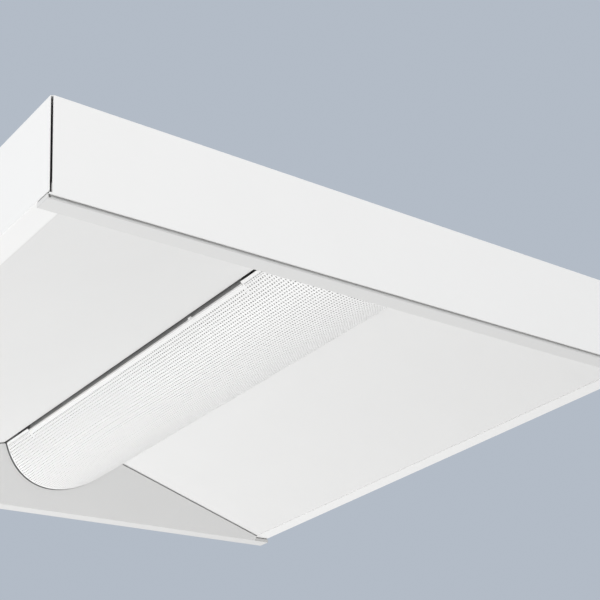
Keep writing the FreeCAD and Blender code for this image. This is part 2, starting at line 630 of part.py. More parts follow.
def hinge_pins():
    """Two headed pins on the hinge line."""
    pins = []
    for side in (-1, 1):
        start = (HINGE_X, side * (RAIL_END - KNUCKLE_LENGTH - 1), HINGE_Z)
        head_in = (HINGE_X, side * (RAIL_END + 3.0), HINGE_Z)
        head_out = (HINGE_X, side * (RAIL_END + 4.0), HINGE_Z)
        pins.append(fused([rod(start, head_out, PIN_RADIUS), rod(head_in, head_out, 1.5)]))
    return Part.makeCompound(pins)


CATCH_Y = 110.0
CATCH_HALF_LENGTH = 9.0
MAGNET_TOP = 53.1


def catch_brackets():
    """Two angles on the left wing's upright that hold the catch magnets."""
    angles = []
    for y in (-CATCH_Y, CATCH_Y):
        outline = [(-WING_EDGE_X, 66), (-WING_EDGE_X, MAGNET_TOP), (-57, MAGNET_TOP),
                   (-57, MAGNET_TOP + SHEET), (-WING_EDGE_X + SHEET, MAGNET_TOP + SHEET),
                   (-WING_EDGE_X + SHEET, 66)]
        angles.append(prism_y(outline, y - CATCH_HALF_LENGTH, y + CATCH_HALF_LENGTH))
    return Part.makeCompound(angles)


def catch_magnets():
    """Two block magnets that hold the left rail up when the basket is shut."""
    return Part.makeCompound([box(-64.5, -57.5, y - 8, y + 8, LOW_RAIL_TOP + 0.1, MAGNET_TOP)
                              for y in (-CATCH_Y, CATCH_Y)])


# ---- ceiling grid clips -------------------------------------------------------------
CLIP_PIN_Y = CLIP_Y - 18.0      # the clip at +CLIP_Y on the left wall turns about this line


def clip_places():
    """Where the left rear clip is copied to: itself, left front, and both turned half round."""
    def left_front(shape):
        copy = shape.copy()
        copy.translate(vec(0, -2 * CLIP_Y, 0))
        return copy
    return [lambda s: s.copy(), left_front, turned, lambda s: turned(left_front(s))]


def clip_window():
    """Opening in the side wall that the clip swings out through."""
    return box(-HALF - 1, -HALF + SHEET + 1, CLIP_PIN_Y - 3.6, CLIP_PIN_Y + CLIP_LENGTH - 1.2,
               CLIP_Z0 - 0.6, CLIP_Z1 + 0.6)


def grid_clip():
    """Flat blade with a rolled eye, flush with the wall until it is swung out."""
    blade = box(-HALF + 0.2, -HALF + 1.4, CLIP_PIN_Y - CLIP_TAIL, CLIP_PIN_Y + CLIP_LENGTH - CLIP_TAIL,
                CLIP_Z0, CLIP_Z1)
    eye = rod((-CLIP_AXIS_X, CLIP_PIN_Y, CLIP_Z0), (-CLIP_AXIS_X, CLIP_PIN_Y, CLIP_Z1), CLIP_KNUCKLE_RADIUS)
    grip = rod((-HALF - 1, CLIP_PIN_Y + CLIP_LENGTH - CLIP_TAIL, 45), (-HALF + 2, CLIP_PIN_Y + CLIP_LENGTH - CLIP_TAIL, 45), 4)
    bore = rod((-CLIP_AXIS_X, CLIP_PIN_Y, 30), (-CLIP_AXIS_X, CLIP_PIN_Y, 60), PIN_HOLE)
    return fused([blade, eye]).cut(grip).cut(bore)


def clip_bracket_ears():
    """The two angles inside the wall, above and below one clip."""
    wall = -HALF + SHEET
    ears = []
    for near, far, leaf_end in ((CLIP_Z1 + 1.2, CLIP_Z1 + 2.2, 62.0), (CLIP_Z0 - 1.2, CLIP_Z0 - 2.2, 28.0)):
        shelf = box(wall, -CLIP_AXIS_X + 3, CLIP_PIN_Y - 5, CLIP_PIN_Y + 5, near, far)
        leaf = box(wall, wall + 0.8, CLIP_PIN_Y - 5, CLIP_PIN_Y + 5, near, leaf_end)
        hole = rod((-CLIP_AXIS_X, CLIP_PIN_Y, 20), (-CLIP_AXIS_X, CLIP_PIN_Y, 70), PIN_RADIUS)
        ears.append(fused([shelf, leaf]).cut(hole))
    return ears


def clip_pin():
    """Riveted pin of one clip."""
    low, high = CLIP_Z0 - 2.2, CLIP_Z1 + 2.2
    x, y = -CLIP_AXIS_X, CLIP_PIN_Y
    return fused([rod((x, y, low - 0.6), (x, y, high + 0.6), PIN_RADIUS),
                  rod((x, y, low - 0.6), (x, y, low), 1.3), rod((x, y, high), (x, y, high + 0.6), 1.3)])


# ---- export -------------------------------------------------------------------------
def main():
    os.makedirs("parts", exist_ok=True)
    save("housing_pan", housing_pan())
    save("end_panel_front", end_panel())
    save("end_panel_back", turned(end_panel()))
    save("end_plate_front", end_plate())
    save("end_plate_back", turned(end_plate()))
    save("wing_left", wing_left())
    save("wing_right", mirror_x(wing()))
    save("end_braces", end_braces())
    save("chamber_end_front", chamber_end())
    save("chamber_end_back", turned(chamber_end()))

    save("led_tray", led_tray())
    save("led_board_left", mirror_x(led_board()))
    save("led_board_right", led_board())
    save("led_packages", led_packages())
    save("board_connectors", board_connectors())
    save("board_screws", board_screws())
    save("top_screws", top_screws())

    save("driver_case", driver_case())
    save("driver_screws", driver_screws())
    save("terminal_block", terminal_block())
    for colour, x in LINE_LEADS.items():
        save(f"lead_{colour}", line_lead(x))
    save("lead_ground", lead_ground())
    save("ground_screw", ground_screw())
    save("board_lead_positive", board_lead(0))
    save("board_lead_negative", board_lead(1))
    save("wire_bushing", wire_bushing())
    save("wire_clips", wire_clips())
    save("access_plate", access_plate())
    save("access_screws", access_screws())
    save("knockout_plug", knockout_plug())

    save("basket_cover", basket_cover())
    save("basket_diffuser", basket_diffuser())
    save("basket_rail_left", basket_rail_left())
    save("basket_rail_right", basket_rail_right())
    save("diffuser_clips", diffuser_clips())
    save("hinge_brackets", hinge_brackets())
    save("hinge_pins", hinge_pins())
    save("catch_brackets", catch_brackets())
    save("catch_magnets", catch_magnets())

    names = ("left_back", "left_front", "right_front", "right_back")
    for name, place in zip(names, clip_places()):
        save(f"grid_clip_{name}", place(grid_clip()))
    ears = [place(ear) for place in clip_places() for ear in clip_bracket_ears()]
    save("clip_brackets", Part.makeCompound(ears))
    save("clip_pins", Part.makeCompound([place(clip_pin()) for place in clip_places()]))


main()
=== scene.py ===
"""Looks of the recessed troffer light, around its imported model.

Metres.  +Z up into the ceiling void, +X across the lens, +Y along the lens.
"""
import json
import math

import bmesh
import bpy
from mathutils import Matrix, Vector


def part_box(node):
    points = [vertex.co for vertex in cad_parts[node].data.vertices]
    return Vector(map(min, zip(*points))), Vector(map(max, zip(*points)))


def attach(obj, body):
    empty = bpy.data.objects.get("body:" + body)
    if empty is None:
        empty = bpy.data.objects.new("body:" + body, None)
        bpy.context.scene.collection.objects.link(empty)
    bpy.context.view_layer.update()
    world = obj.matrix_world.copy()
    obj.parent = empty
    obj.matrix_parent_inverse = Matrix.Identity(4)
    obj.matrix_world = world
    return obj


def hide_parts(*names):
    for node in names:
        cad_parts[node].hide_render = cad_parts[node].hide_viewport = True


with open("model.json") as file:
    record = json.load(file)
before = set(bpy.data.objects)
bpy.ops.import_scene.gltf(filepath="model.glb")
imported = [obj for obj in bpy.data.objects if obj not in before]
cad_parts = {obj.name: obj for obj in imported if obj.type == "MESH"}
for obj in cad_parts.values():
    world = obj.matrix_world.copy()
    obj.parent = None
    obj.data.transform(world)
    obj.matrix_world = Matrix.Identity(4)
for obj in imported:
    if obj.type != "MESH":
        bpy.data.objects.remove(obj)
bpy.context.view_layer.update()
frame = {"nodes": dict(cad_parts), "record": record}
nodes = frame["nodes"]

# ---- sizes the looks share with the CAD (metres) --------------------------------------
HALF = 0.3015
SHEET = 0.0007
LENS_RADIUS = 0.090
LENS_BOTTOM = 0.0175
LENS_CENTRE_Z = LENS_BOTTOM + LENS_RADIUS
LENS_HALF_WIDTH = 0.06495
PLATE_FOOT_Y = HALF - 0.017
BASKET_END_GAP = 0.0030
LENS_END_HALF_WIDTH = 0.0676
HINGE_CLEAR_Y = 0.206
RAIL_END = 0.1875


CAMERA_PLACE = (-0.65655, -0.98382, -0.45652)
CAMERA_TURN = (2.026759, 0.068318, -0.651573)
CAMERA_LENS = 81.261          # millimetres, on a 36 mm wide sensor


# ---- camera ---------------------------------------------------------------------------
def add_camera():
    """Seen from below, past the nearest corner, as in the photograph."""
    data = bpy.data.cameras.new("camera")
    data.lens = CAMERA_LENS
    data.sensor_width = 36.0
    data.clip_end = 50.0
    camera = bpy.data.objects.new("camera", data)
    camera.location = CAMERA_PLACE
    camera.rotation_euler = CAMERA_TURN
    bpy.context.scene.collection.objects.link(camera)
    bpy.context.scene.camera = camera


# ---- node helpers ---------------------------------------------------------------------
class Nodes:
    """Short names for building one node tree."""

    def __init__(self, tree):
        self.tree = tree

    def add(self, kind, **settings):
        node = self.tree.nodes.new(kind)
        for name, value in settings.items():
            setattr(node, name, value)
        return node

    def link(self, source, target):
        self.tree.links.new(source, target)

    def math(self, operation, first, second=None):
        node = self.add("ShaderNodeMath", operation=operation)
        for socket, value in zip(node.inputs, (first, second)):
            if value is None:
                continue
            if isinstance(value, (int, float)):
                socket.default_value = value
            else:
                self.link(value, socket)
        return node.outputs[0]


def new_group(name, inputs, outputs):
    """An empty shader group with named sockets: (name, type, default)."""
    tree = bpy.data.node_groups.new(name, "ShaderNodeTree")
    for label, kind, default in inputs:
        socket = tree.interface.new_socket(name=label, in_out="INPUT", socket_type=kind)
        if default is not None:
            socket.default_value = default
    for label, kind in outputs:
        tree.interface.new_socket(name=label, in_out="OUTPUT", socket_type=kind)
    kit = Nodes(tree)
    return tree, kit, kit.add("NodeGroupInput"), kit.add("NodeGroupOutput")


def colour_mix(kit, factor, first, second, blend="MIX"):
    """Colour output of a mix; each colour is a socket or a tuple."""
    node = kit.add("ShaderNodeMix", data_type="RGBA", blend_type=blend)
    ends = ((node.inputs["Factor"], factor), (node.inputs[6], first), (node.inputs[7], second))
    for socket, value in ends:
        if isinstance(value, (float, tuple)):
            socket.default_value = value
        else:
            kit.link(value, socket)
    return node.outputs[2]


def powder_coat_group():
    """Fine orange peel, faint roughness drift and softened edges of a sprayed powder coat."""
    tree, kit, given, result = new_group(
        "powder coat",
        [("Peel Scale", "NodeSocketFloat", 900.0), ("Peel", "NodeSocketFloat", 0.06),
         ("Edge Radius", "NodeSocketFloat", 0.0006), ("Roughness", "NodeSocketFloat", 0.4)],
        [("Roughness", "NodeSocketFloat"), ("Normal", "NodeSocketVector"), ("Drift", "NodeSocketFloat")])
    place = kit.add("ShaderNodeTexCoord")
    peel = kit.add("ShaderNodeTexNoise")
    peel.inputs["Detail"].default_value = 2.0
    kit.link(place.outputs["Object"], peel.inputs["Vector"])
    kit.link(given.outputs["Peel Scale"], peel.inputs["Scale"])
    broad = kit.add("ShaderNodeTexNoise")
    broad.inputs["Scale"].default_value = 14.0
    broad.inputs["Detail"].default_value = 3.0
    kit.link(place.outputs["Object"], broad.inputs["Vector"])
    bevel = kit.add("ShaderNodeBevel", samples=6)
    kit.link(given.outputs["Edge Radius"], bevel.inputs["Radius"])
    bump = kit.add("ShaderNodeBump")
    bump.inputs["Distance"].default_value = 0.00008
    kit.link(given.outputs["Peel"], bump.inputs["Strength"])
    kit.link(peel.outputs["Fac"], bump.inputs["Height"])
    kit.link(bevel.outputs["Normal"], bump.inputs["Normal"])
    spread = kit.math("MULTIPLY", kit.math("SUBTRACT", broad.outputs["Fac"], 0.5), 0.12)
    kit.link(kit.math("ADD", given.outputs["Roughness"], spread), result.inputs["Roughness"])
    kit.link(bump.outputs["Normal"], result.inputs["Normal"])
    kit.link(broad.outputs["Fac"], result.inputs["Drift"])
    return tree


def handling_and_shade_group():
    """Faint dust and scuffs, with painted shade: the dust colour follows ambient occlusion, so corners and
    creases are painted darker; the scuffs are streaks of roughness.
    """
    tree, kit, given, result = new_group(
        "handling marks and painted shade", [("Reach", "NodeSocketFloat", 0.012), ("Amount", "NodeSocketFloat", 0.25)],
        [("Dust And Shade", "NodeSocketFloat"), ("Scuff", "NodeSocketFloat")])
    place = kit.add("ShaderNodeTexCoord")
    corner = kit.add("ShaderNodeAmbientOcclusion", samples=6)
    kit.link(given.outputs["Reach"], corner.inputs["Distance"])
    speck = kit.add("ShaderNodeTexNoise")
    speck.inputs["Scale"].default_value = 90.0
    speck.inputs["Detail"].default_value = 6.0
    kit.link(place.outputs["Object"], speck.inputs["Vector"])
    # Painted shade: the dust colour is laid on where ambient occlusion is low, so corners and creases come
    # out darker.
    painted_shade = kit.math("SUBTRACT", 1.0, corner.outputs["AO"])
    dust_and_shade = kit.math("MULTIPLY", kit.math("MULTIPLY", painted_shade, speck.outputs["Fac"]), given.outputs["Amount"])
    kit.link(dust_and_shade, result.inputs["Dust And Shade"])
    stretch = kit.add("ShaderNodeMapping")
    stretch.inputs["Scale"].default_value = (40.0, 260.0, 120.0)
    kit.link(place.outputs["Object"], stretch.inputs["Vector"])
    scratch = kit.add("ShaderNodeTexNoise")
    scratch.inputs["Scale"].default_value = 1.0
    scratch.inputs["Detail"].default_value = 4.0
    kit.link(stretch.outputs["Vector"], scratch.inputs["Vector"])
    scuff = kit.math("MULTIPLY", kit.math("GREATER_THAN", scratch.outputs["Fac"], 0.68), 0.5)
    kit.link(scuff, result.inputs["Scuff"])
    return tree


def spangle_group():
    """Crystal spangle of hot-dip galvanised sheet."""
    tree, kit, given, result = new_group(
        "zinc spangle", [("Grain Scale", "NodeSocketFloat", 160.0), ("Roughness", "NodeSocketFloat", 0.4)],
        [("Grain", "NodeSocketFloat"), ("Roughness", "NodeSocketFloat"), ("Normal", "NodeSocketVector")])
    place = kit.add("ShaderNodeTexCoord")
    warp = kit.add("ShaderNodeTexNoise")
    warp.inputs["Scale"].default_value = 60.0
    kit.link(place.outputs["Object"], warp.inputs["Vector"])
    bent = kit.add("ShaderNodeMix", data_type="VECTOR")
    bent.inputs["Factor"].default_value = 0.02
    kit.link(place.outputs["Object"], bent.inputs[4])
    kit.link(warp.outputs["Color"], bent.inputs[5])
    crystals = kit.add("ShaderNodeTexVoronoi")
    kit.link(bent.outputs[1], crystals.inputs["Vector"])
    kit.link(given.outputs["Grain Scale"], crystals.inputs["Scale"])
    grain = kit.add("ShaderNodeSeparateColor")
    kit.link(crystals.outputs["Color"], grain.inputs["Color"])
    kit.link(grain.outputs["Red"], result.inputs["Grain"])
    spread = kit.math("MULTIPLY", kit.math("SUBTRACT", grain.outputs["Green"], 0.5), 0.25)
    kit.link(kit.math("ADD", given.outputs["Roughness"], spread), result.inputs["Roughness"])
    bevel = kit.add("ShaderNodeBevel", samples=4)
    bevel.inputs["Radius"].default_value = 0.0003
    bump = kit.add("ShaderNodeBump")
    bump.inputs["Strength"].default_value = 0.1
    bump.inputs["Distance"].default_value = 0.0001
    kit.link(grain.outputs["Blue"], bump.inputs["Height"])
    kit.link(bevel.outputs["Normal"], bump.inputs["Normal"])
    kit.link(bump.outputs["Normal"], result.inputs["Normal"])
    return tree


def moulding_group():
    """Fine texture and slight mottling of moulded plastic."""
    tree, kit, given, result = new_group(
        "moulded plastic",
        [("Texture Scale", "NodeSocketFloat", 1400.0), ("Texture", "NodeSocketFloat", 0.08),
         ("Roughness", "NodeSocketFloat", 0.45)],
        [("Mottle", "NodeSocketFloat"), ("Roughness", "NodeSocketFloat"), ("Normal", "NodeSocketVector")])
    place = kit.add("ShaderNodeTexCoord")
    fine = kit.add("ShaderNodeTexNoise")
    fine.inputs["Detail"].default_value = 3.0
    kit.link(place.outputs["Object"], fine.inputs["Vector"])
    kit.link(given.outputs["Texture Scale"], fine.inputs["Scale"])
    broad = kit.add("ShaderNodeTexNoise")
    broad.inputs["Scale"].default_value = 45.0
    kit.link(place.outputs["Object"], broad.inputs["Vector"])
    kit.link(broad.outputs["Fac"], result.inputs["Mottle"])
    spread = kit.math("MULTIPLY", kit.math("SUBTRACT", broad.outputs["Fac"], 0.5), 0.15)
    kit.link(kit.math("ADD", given.outputs["Roughness"], spread), result.inputs["Roughness"])
    bevel = kit.add("ShaderNodeBevel", samples=4)
    bevel.inputs["Radius"].default_value = 0.0003
    bump = kit.add("ShaderNodeBump")
    bump.inputs["Distance"].default_value = 0.0001
    kit.link(given.outputs["Texture"], bump.inputs["Strength"])
    kit.link(fine.outputs["Fac"], bump.inputs["Height"])
    kit.link(bevel.outputs["Normal"], bump.inputs["Normal"])
    kit.link(bump.outputs["Normal"], result.inputs["Normal"])
    return tree


POWDER = powder_coat_group()
HANDLING_AND_SHADE = handling_and_shade_group()
SPANGLE = spangle_group()
MOULDED = moulding_group()


def new_material(name):
    material = bpy.data.materials.new(name)
    material.use_nodes = True
    kit = Nodes(material.node_tree)
    return material, kit, material.node_tree.nodes["Principled BSDF"]


def rgb(red, green, blue):
    return (red, green, blue, 1.0)


def enamel(name, colour, roughness, peel=0.06, dust_and_shade=0.25, scuffs=True):
    """Powder-coated sheet steel."""
    material, kit, shader = new_material(name)
    coat = kit.add("ShaderNodeGroup", node_tree=POWDER)
    coat.inputs["Peel"].default_value = peel
    coat.inputs["Roughness"].default_value = roughness
    marks_and_shade = kit.add("ShaderNodeGroup", node_tree=HANDLING_AND_SHADE)
    marks_and_shade.inputs["Amount"].default_value = dust_and_shade
    darker = tuple(c * 0.97 for c in colour[:3]) + (1.0,)
    base = colour_mix(kit, coat.outputs["Drift"], colour, darker)
    # Dust and painted shade: the grey dust colour is darker in corners and creases, following ambient
    # occlusion.
    dusty_and_shaded = colour_mix(kit, marks_and_shade.outputs["Dust And Shade"], base, rgb(0.52, 0.50, 0.47))
    kit.link(dusty_and_shaded, shader.inputs["Base Color"])
    rough = coat.outputs["Roughness"]
    if scuffs:
        rough = kit.math("ADD", rough, kit.math("MULTIPLY", marks_and_shade.outputs["Scuff"], 0.12))
    kit.link(rough, shader.inputs["Roughness"])
    kit.link(coat.outputs["Normal"], shader.inputs["Normal"])
    shader.inputs["Specular IOR Level"].default_value = 0.45
    return material


def zinc(name, colour, roughness, grain=160.0):
    """Zinc-coated steel."""
    material, kit, shader = new_material(name)
    sheet = kit.add("ShaderNodeGroup", node_tree=SPANGLE)
    sheet.inputs["Grain Scale"].default_value = grain
    sheet.inputs["Roughness"].default_value = roughness
    darker = tuple(c * 0.72 for c in colour[:3]) + (1.0,)
    kit.link(colour_mix(kit, sheet.outputs["Grain"], darker, colour), shader.inputs["Base Color"])
    kit.link(sheet.outputs["Roughness"], shader.inputs["Roughness"])
    kit.link(sheet.outputs["Normal"], shader.inputs["Normal"])
    shader.inputs["Metallic"].default_value = 0.9
    return material


def plastic(name, colour, roughness, texture=0.08, translucent=0.0):
    """Moulded plastic."""
    material, kit, shader = new_material(name)
    skin = kit.add("ShaderNodeGroup", node_tree=MOULDED)
    skin.inputs["Texture"].default_value = texture
    skin.inputs["Roughness"].default_value = roughness
    darker = tuple(c * 0.88 for c in colour[:3]) + (1.0,)
    kit.link(colour_mix(kit, skin.outputs["Mottle"], darker, colour), shader.inputs["Base Color"])
    kit.link(skin.outputs["Roughness"], shader.inputs["Roughness"])
    kit.link(skin.outputs["Normal"], shader.inputs["Normal"])
    shader.inputs["Subsurface Weight"].default_value = translucent
    shader.inputs["Subsurface Radius"].default_value = (0.002, 0.002, 0.002)
    return material


WHITE = rgb(0.90, 0.90, 0.895)
MATERIALS = {
    "white_enamel": enamel("white powder coat", WHITE, 0.42),
    # Wings: a darker copy of the white paint (0.78 against 0.90), painted shade for the recess beside the
    # lens.
    "reflector_white_painted_shade": enamel("reflector white, darker for painted shade", rgb(0.78, 0.78, 0.775), 0.62, 0.03, 0.15, False),
    # End plates: a still darker copy of the white paint (0.73), painted shade on the sloped plates inside
    # the recess.
    "plate_white_painted_shade": enamel("end plate white, darker for painted shade", rgb(0.73, 0.73, 0.725), 0.55, 0.04, 0.2, False),
    "basket_white": enamel("lens basket white", rgb(0.91, 0.91, 0.905), 0.45, 0.04, 0.1, False),
    "tray_white": enamel("tray white", rgb(0.84, 0.84, 0.83), 0.6, 0.03, 0.2, False),
    "galvanised_steel": zinc("galvanised sheet", rgb(0.62, 0.63, 0.64), 0.42),
    "clip_steel": zinc("zinc-plated blade", rgb(0.66, 0.66, 0.65), 0.34, 420.0),
    "spring_steel": zinc("spring steel", rgb(0.48, 0.49, 0.51), 0.3, 600.0),
    "pin_steel": zinc("zinc-plated pin", rgb(0.64, 0.64, 0.64), 0.3, 600.0),
    "plated_screw": zinc("plated screw", rgb(0.66, 0.65, 0.62), 0.28, 700.0),
    "green_screw": enamel("green earth screw", rgb(0.05, 0.25, 0.09), 0.35),
    "board_white": plastic("white solder mask", rgb(0.82, 0.82, 0.80), 0.35, 0.03),
    "package_white": plastic("package frame", rgb(0.84, 0.84, 0.82), 0.4),
    "led_phosphor": plastic("phosphor", rgb(0.78, 0.62, 0.16), 0.4, 0.05, 0.2),
    "connector_white": plastic("connector body", rgb(0.80, 0.80, 0.76), 0.42),
    "driver_case": enamel("driver case", rgb(0.68, 0.68, 0.67), 0.4, 0.1),
    "terminal_plastic": plastic("terminal body", rgb(0.62, 0.24, 0.05), 0.4),
    "lead_black": plastic("black insulation", rgb(0.02, 0.02, 0.02), 0.42),
    "lead_white": plastic("white insulation", rgb(0.74, 0.74, 0.72), 0.42),
    "lead_green": plastic("green insulation", rgb(0.03, 0.20, 0.06), 0.42),
    "lead_red": plastic("red insulation", rgb(0.36, 0.02, 0.02), 0.42),
    "lead_blue": plastic("blue insulation", rgb(0.03, 0.07, 0.30), 0.42),
    "black_nylon": plastic("black nylon", rgb(0.025, 0.025, 0.027), 0.5),
    "clip_nylon": plastic("natural nylon", rgb(0.72, 0.71, 0.66), 0.45),
    "frosted_diffuser": plastic("frosted sheet", rgb(0.92, 0.92, 0.915), 0.6, 0.02, 0.3),
    "slot_shade_grey": plastic("dark grey slot shade", rgb(0.34, 0.34, 0.34), 0.9, 0.5),
    # Dark grey for the strip along the free rail: painted shade in the slot beside the lens.
    "magnet_black": plastic("ferrite", rgb(0.05, 0.05, 0.055), 0.5, 0.15),
}
LOOKS_BY_NODE = {
    # The wings get the darker white: painted shade.
    "wing_left": "reflector_white_painted_shade", "wing_right": "reflector_white_painted_shade",
    # The end plates get the darkest white: painted shade.
    "end_plate_front": "plate_white_painted_shade", "end_plate_back": "plate_white_painted_shade",
}


def dress_nodes():
    """Each CAD node gets the material of its slot, or one of its own."""
    for part in frame["record"]["subparts"]:
        name = part["node"]
        look = MATERIALS[LOOKS_BY_NODE.get(name, part["material_slot"])]
        mesh = nodes[name].data
        mesh.materials.clear()
        mesh.materials.append(look)


# ---- modelling helpers ----------------------------------------------------------------
def select_only(piece):
    """Deselect everything, then select this piece and make it active."""
    bpy.ops.object.select_all(action="DESELECT")
    piece.select_set(True)
    bpy.context.view_layer.objects.active = piece


def named(name):
    """The primitive just added, under its own name."""
    piece = bpy.context.object
    piece.name = name
    piece.data.name = name
    return piece


def settle(piece):
    """Place and turn go into the mesh, so the object sits at the origin."""
    select_only(piece)
    bpy.ops.object.transform_apply(location=True, rotation=True, scale=True)


def apply_modifier(piece, kind, **settings):
    """Add one modifier and apply it at once."""
    modifier = piece.modifiers.new(kind.lower(), kind)
    for name, value in settings.items():
        setattr(modifier, name, value)
    select_only(piece)
    bpy.ops.object.modifier_apply(modifier=modifier.name)


def pick_faces(piece, wanted):
    """In edit mode, select the faces whose centre passes the test."""
    bpy.ops.mesh.select_mode(type="FACE")
    bpy.ops.mesh.select_all(action="DESELECT")
    mesh = bmesh.from_edit_mesh(piece.data)
    for face in mesh.faces:
        face.select = bool(wanted(face.calc_center_median()))
    mesh.select_flush_mode()
    bmesh.update_edit_mesh(piece.data)


def pick_border(piece, wanted):
    """In edit mode, select the open edges whose middle passes the test."""
    bpy.ops.mesh.select_mode(type="EDGE")
    bpy.ops.mesh.select_all(action="DESELECT")
    mesh = bmesh.from_edit_mesh(piece.data)
    for edge in mesh.edges:
        middle = (edge.verts[0].co + edge.verts[1].co) / 2
        edge.select = bool(edge.is_boundary and wanted(middle))
    mesh.select_flush_mode()
    bmesh.update_edit_mesh(piece.data)


def cut_selected(point, normal, drop_outside=False):
    """In edit mode, cut what is selected along a plane."""
    bpy.ops.mesh.bisect(plane_co=point, plane_no=normal, clear_outer=drop_outside)


def finish_piece(piece, body, slot, look, *replaced):
    """Material, body and the nodes that the piece stands for; the slot argument is not used."""
    piece.data.materials.clear()
    piece.data.materials.append(MATERIALS[look])
    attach(piece, body)
    if replaced:
        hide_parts(*replaced)


# ---- perforated lens ------------------------------------------------------------------
LENS_PITCH = 0.0030           # rows of perforation, across and along
LENS_RIM = 0.00082            # half of the metal left between two holes
LENS_MARGIN = 0.0018          # plain border along the edges
LENS_ARC = 2 * math.asin(LENS_END_HALF_WIDTH / LENS_RADIUS)
UPTURN_TOP = 0.054            # top of the edge turned up along the hinge rail
EDGE_TOLERANCE = 0.0002


def add_perforated_lens():
    """Curved cover of finely perforated sheet, cut at a slope at both ends."""
    width = LENS_RADIUS * LENS_ARC
    half_reach = PLATE_FOOT_Y - BASKET_END_GAP - LENS_BOTTOM
    bpy.ops.object.select_all(action="DESELECT")
    # The flat sheet stands upright while it is bent, and is then laid along Y.
    bpy.ops.mesh.primitive_grid_add(
        x_subdivisions=round(width / LENS_PITCH), y_subdivisions=round(2 * half_reach / LENS_PITCH),
        size=1.0, rotation=(math.pi / 2, 0, 0))
    lens = named("perforated_lens")
    lens.scale = (width, 2 * half_reach, 1.0)
    settle(lens)
    apply_modifier(lens, "SIMPLE_DEFORM", deform_method="BEND", deform_axis="Z", angle=LENS_ARC)
    lens.rotation_euler = (math.pi / 2, 0, 0)
    lens.location = (0, 0, LENS_BOTTOM)
    settle(lens)
    bpy.ops.object.mode_set(mode="EDIT")
    # Both ends are cut to the slope, and the long edges are stepped where the rails stop.
    for end in (-1, 1):
        bpy.ops.mesh.select_all(action="SELECT")
        cut_selected((0, end * half_reach, LENS_BOTTOM), (0, end, 1), True)
        bpy.ops.mesh.select_all(action="SELECT")
        cut_selected((end * LENS_HALF_WIDTH, 0, 0), (1, 0, 0))
        for x_side, y_cut in ((-1, RAIL_END), (1, RAIL_END), (1, HINGE_CLEAR_Y)):
            pick_faces(lens, lambda c: c.x * x_side > LENS_HALF_WIDTH - 2 * LENS_PITCH)
            cut_selected((0, end * y_cut, 0), (0, 1, 0))
    pick_faces(lens, lambda c: (c.x < -LENS_HALF_WIDTH and abs(c.y) < RAIL_END)
               or (c.x > LENS_HALF_WIDTH and abs(c.y) < HINGE_CLEAR_Y))
    bpy.ops.mesh.delete(type="FACE")

    def open_field(c):
        """Where the sheet is perforated: all but a plain border."""
        from_end = PLATE_FOOT_Y - BASKET_END_GAP - c.z - abs(c.y)
        narrow_to = RAIL_END if c.x < 0 else HINGE_CLEAR_Y
        reach = LENS_HALF_WIDTH if abs(c.y) < narrow_to + LENS_MARGIN else LENS_END_HALF_WIDTH
        return from_end > LENS_MARGIN and abs(c.x) < reach - LENS_MARGIN
    pick_faces(lens, open_field)
    bpy.ops.mesh.inset(thickness=LENS_RIM, use_individual=True, use_even_offset=True)
    bpy.ops.mesh.delete(type="FACE")
    pick_border(lens, lambda m: m.x > LENS_HALF_WIDTH - EDGE_TOLERANCE and abs(m.y) < RAIL_END)
    edge_z = LENS_CENTRE_Z - math.sqrt(LENS_RADIUS ** 2 - LENS_HALF_WIDTH ** 2)
    bpy.ops.mesh.extrude_region_move(TRANSFORM_OT_translate={"value": (0, 0, UPTURN_TOP - edge_z)})
    bpy.ops.object.mode_set(mode="OBJECT")
    apply_modifier(lens, "SOLIDIFY", thickness=SHEET, offset=-1.0)
    finish_piece(lens, "basket", "basket_white", "basket_white", "basket_cover")


# ---- dark strip along the free rail, painted shade for the slot -----------------------
SHADE_STRIP_INNER_X, SHADE_STRIP_OUTER_X = -0.06495, -0.06575
SHADE_STRIP_FOOT_Z, SHADE_STRIP_TOP_Z = 0.0466, 0.0522
SHADE_STRIP_END_Y = 0.1868
SHADE_STRIP_ROUNDING = 0.00022


def add_slot_shade_strip():
    """Dark grey strip along the free rail: painted shade in the slot beside the lens."""
    size = (SHADE_STRIP_INNER_X - SHADE_STRIP_OUTER_X, 2 * SHADE_STRIP_END_Y, SHADE_STRIP_TOP_Z - SHADE_STRIP_FOOT_Z)
    middle = ((SHADE_STRIP_INNER_X + SHADE_STRIP_OUTER_X) / 2, 0, (SHADE_STRIP_TOP_Z + SHADE_STRIP_FOOT_Z) / 2)
    bpy.ops.object.select_all(action="DESELECT")
    bpy.ops.mesh.primitive_cube_add(size=1.0, location=middle)
    shade_strip = named("slot_shade_strip")
    shade_strip.scale = size
    settle(shade_strip)
    bpy.ops.object.mode_set(mode="EDIT")
    bpy.ops.mesh.select_all(action="SELECT")
    bpy.ops.mesh.bevel(offset=SHADE_STRIP_ROUNDING, segments=2, affect="EDGES")
    bpy.ops.object.mode_set(mode="OBJECT")
    bpy.ops.object.shade_smooth_by_angle(angle=math.radians(40))
    finish_piece(shade_strip, "basket", "basket_white", "slot_shade_grey")


# ---- LED packages ---------------------------------------------------------------------
CHIP_SIZE = 0.0030
CHIP_HEIGHT = 0.0007
CHIP_PITCH = 0.0120
CHIPS_PER_ROW = 34
CHIP_ROW_X = 0.0220           # a row's distance from the middle
CHIP_FRAME = 0.00035          # width of the white frame
CHIP_SINK = 0.00012           # how deep the phosphor lies in it


